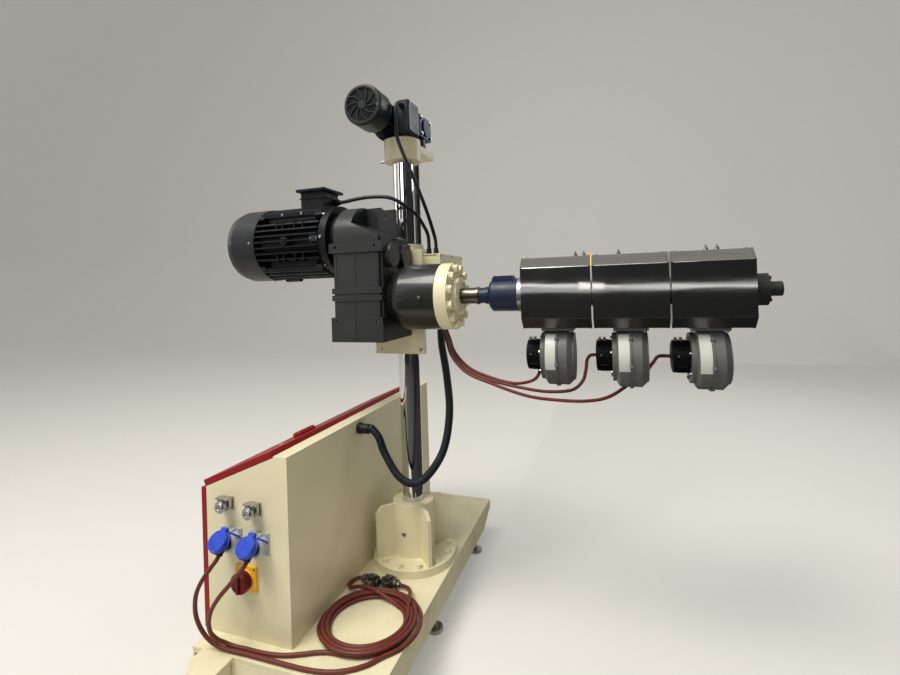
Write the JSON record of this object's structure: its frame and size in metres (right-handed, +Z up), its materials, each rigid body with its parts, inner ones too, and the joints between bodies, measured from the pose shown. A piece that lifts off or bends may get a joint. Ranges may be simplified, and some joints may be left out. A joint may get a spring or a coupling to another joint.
{
  "type": "column-mounted side extruder",
  "caption": "Small plastic side extruder: geared motor drive head and covered heated barrel that ride on a chrome column over a welded base with a sloped electrical cabinet.",
  "frame": {"origin": "centre of the footprint box on the floor, cords left out", "axes": "+X along the barrel towards its outlet, +Y from the near end of the base to its far end, +Z up"},
  "size_m": [1.561, 1.103, 1.69],
  "materials": {
    "cream_paint": "semi-gloss cream machine enamel",
    "red_paint": "semi-gloss dark red enamel",
    "dark_paint": "satin anthracite enamel on castings",
    "navy_paint": "gloss navy enamel",
    "grey_casting": "light grey enamel on die castings",
    "fan_black": "satin black enamel",
    "hard_chrome": "ground and hard chromed, mirror bright",
    "plain_steel": "turned steel",
    "polished_stainless": "polished stainless sheet",
    "die_cast_zinc": "die-cast zinc with a nickel finish",
    "socket_grey": "light grey moulded plastic",
    "socket_blue": "bright blue moulded plastic",
    "black_plastic": "black moulded plastic",
    "switch_yellow": "yellow moulded plastic",
    "switch_red": "dark red moulded plastic",
    "conduit_rubber": "black ribbed conduit",
    "black_cable": "black cable sheath",
    "brown_cable": "red-brown cable sheath"
  },
  "bodies": {
    "base": {"deck_plate": "cream_paint", "side_beams": "cream_paint", "cross_beams": "cream_paint", "front_arms": "cream_paint", "levelling_feet": "plain_steel", "cabinet_shell": "cream_paint", "door_pivots": "plain_steel", "cabinet_lid": "red_paint", "panel_connectors": "die_cast_zinc", "socket_bodies": "socket_grey", "socket_lids": "socket_blue", "socket_plugs": "black_plastic", "switch_plate": "switch_yellow", "conduit_gland": "black_plastic", "column_foot": "cream_paint", "column": "hard_chrome", "column_cap": "cream_paint", "lift_screw": "plain_steel", "lift_gearbox": "navy_paint", "lift_motor": "dark_paint", "lift_fan_cover": "dark_paint", "lift_terminal_box": "grey_casting", "conduit": "conduit_rubber", "lift_cable": "black_cable", "lead_one": "brown_cable", "lead_two": "brown_cable", "lead_coil": "brown_cable", "lead_connectors": "die_cast_zinc"},
    "drive_head": {"carriage": "cream_paint", "junction_box": "cream_paint", "cable_glands": "black_plastic", "gearbox": "dark_paint", "thrust_housing": "dark_paint", "output_flange": "cream_paint", "feed_section": "navy_paint", "barrel": "plain_steel", "outlet_nozzle": "dark_paint", "heater_cover_1": "polished_stainless", "heater_cover_2": "polished_stainless", "heater_cover_3": "polished_stainless", "blower_scrolls": "grey_casting", "blower_motors": "fan_black", "drive_motor": "dark_paint", "drive_fan_cover": "dark_paint", "drive_terminal_box": "dark_paint", "motor_cable": "black_cable", "blower_harness": "brown_cable"},
    "door": {"cabinet_door": "red_paint", "door_locks": "plain_steel"},
    "knob": {"switch_knob": "switch_red"}
  },
  "joints": [
    {"name": "head_lift", "type": "slide", "parent": "base", "child": "drive_head", "axis": [0, 0, 1], "range_m": [-0.12, 0.15], "deforming": ["conduit", "lift_cable"]},
    {"name": "cabinet_door_swing", "type": "hinge", "parent": "base", "child": "door", "pos_m": [-0.6755, 0.5435, 0.34], "axis": [0, 0, -1], "range_deg": [0, 110]},
    {"name": "switch_turn", "type": "hinge", "parent": "base", "child": "knob", "pos_m": [-0.5305, -0.4295, 0.313], "axis": [0, -1, 0], "range_deg": [-90, 0]}
  ]
}
